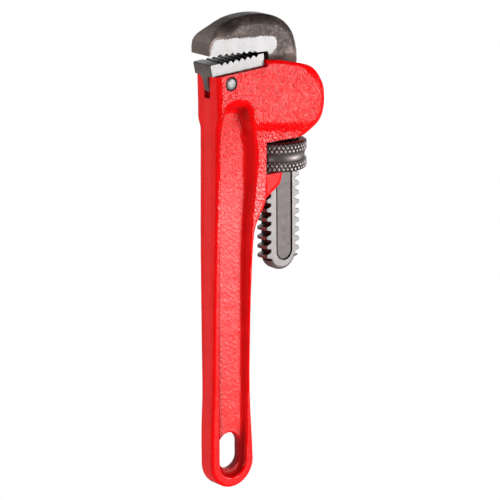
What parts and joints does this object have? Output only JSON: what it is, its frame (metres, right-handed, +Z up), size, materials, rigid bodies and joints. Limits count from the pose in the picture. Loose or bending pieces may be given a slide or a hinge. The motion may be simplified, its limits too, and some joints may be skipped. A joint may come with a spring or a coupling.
{
  "type": "pipe wrench",
  "caption": "Straight pipe wrench with a red cast I-beam handle, a toothed heel jaw, and a hooked jaw on a threaded shank that a knurled nut moves.",
  "frame": {"origin": "on the ground plane under the middle of the overall box, at the round end of the handle, with the wrench standing upright", "axes": "+Z up along the handle towards the jaws, +X towards the back of the hook jaw, Y across the thickness"},
  "size_m": [0.0734, 0.0296, 0.247],
  "materials": {
    "red_paint": "glossy red enamel over a rough casting",
    "ground_steel": "ground sides, dark forged front and teeth",
    "bright_pin": "bright, peened ends",
    "forged_steel": "dark brown-black forging with ground jaw sides and shank faces",
    "dark_knurled_steel": "dark, diamond knurled, satin groove",
    "spring_steel": "blued spring steel"
  },
  "bodies": {
    "handle": {"handle_housing": "red_paint", "heel_jaw": "ground_steel", "heel_jaw_pin": "bright_pin", "coil_spring": "spring_steel"},
    "spring_set": {"flat_spring": "spring_steel", "spring_rivet": "bright_pin"},
    "hook_jaw": {"hook_jaw": "forged_steel"},
    "adjusting_nut": {"adjusting_nut": "dark_knurled_steel"}
  },
  "joints": [
    {"name": "jaw_rock", "type": "hinge", "parent": "handle", "child": "spring_set", "pos_m": [0.01195, 0, 0.1722], "axis": [0, -1, 0], "range_deg": [0, 2], "stiffness_Nm_per_rad": 6, "springref_deg": -2.86, "deforming": ["coil_spring"]},
    {"name": "jaw_travel", "type": "slide", "parent": "spring_set", "child": "hook_jaw", "axis": [0, 0, 1], "range_m": [0, 0.038]},
    {"name": "nut_turn", "type": "hinge", "parent": "spring_set", "child": "adjusting_nut", "pos_m": [0.01195, 0, 0.1722], "axis": [0, 0, 1], "range_deg": [-2820, 0]}
  ],
  "couplings": [
    {"joint": "nut_turn", "follows": "jaw_travel", "rad_per_m": -1287.5}
  ]
}
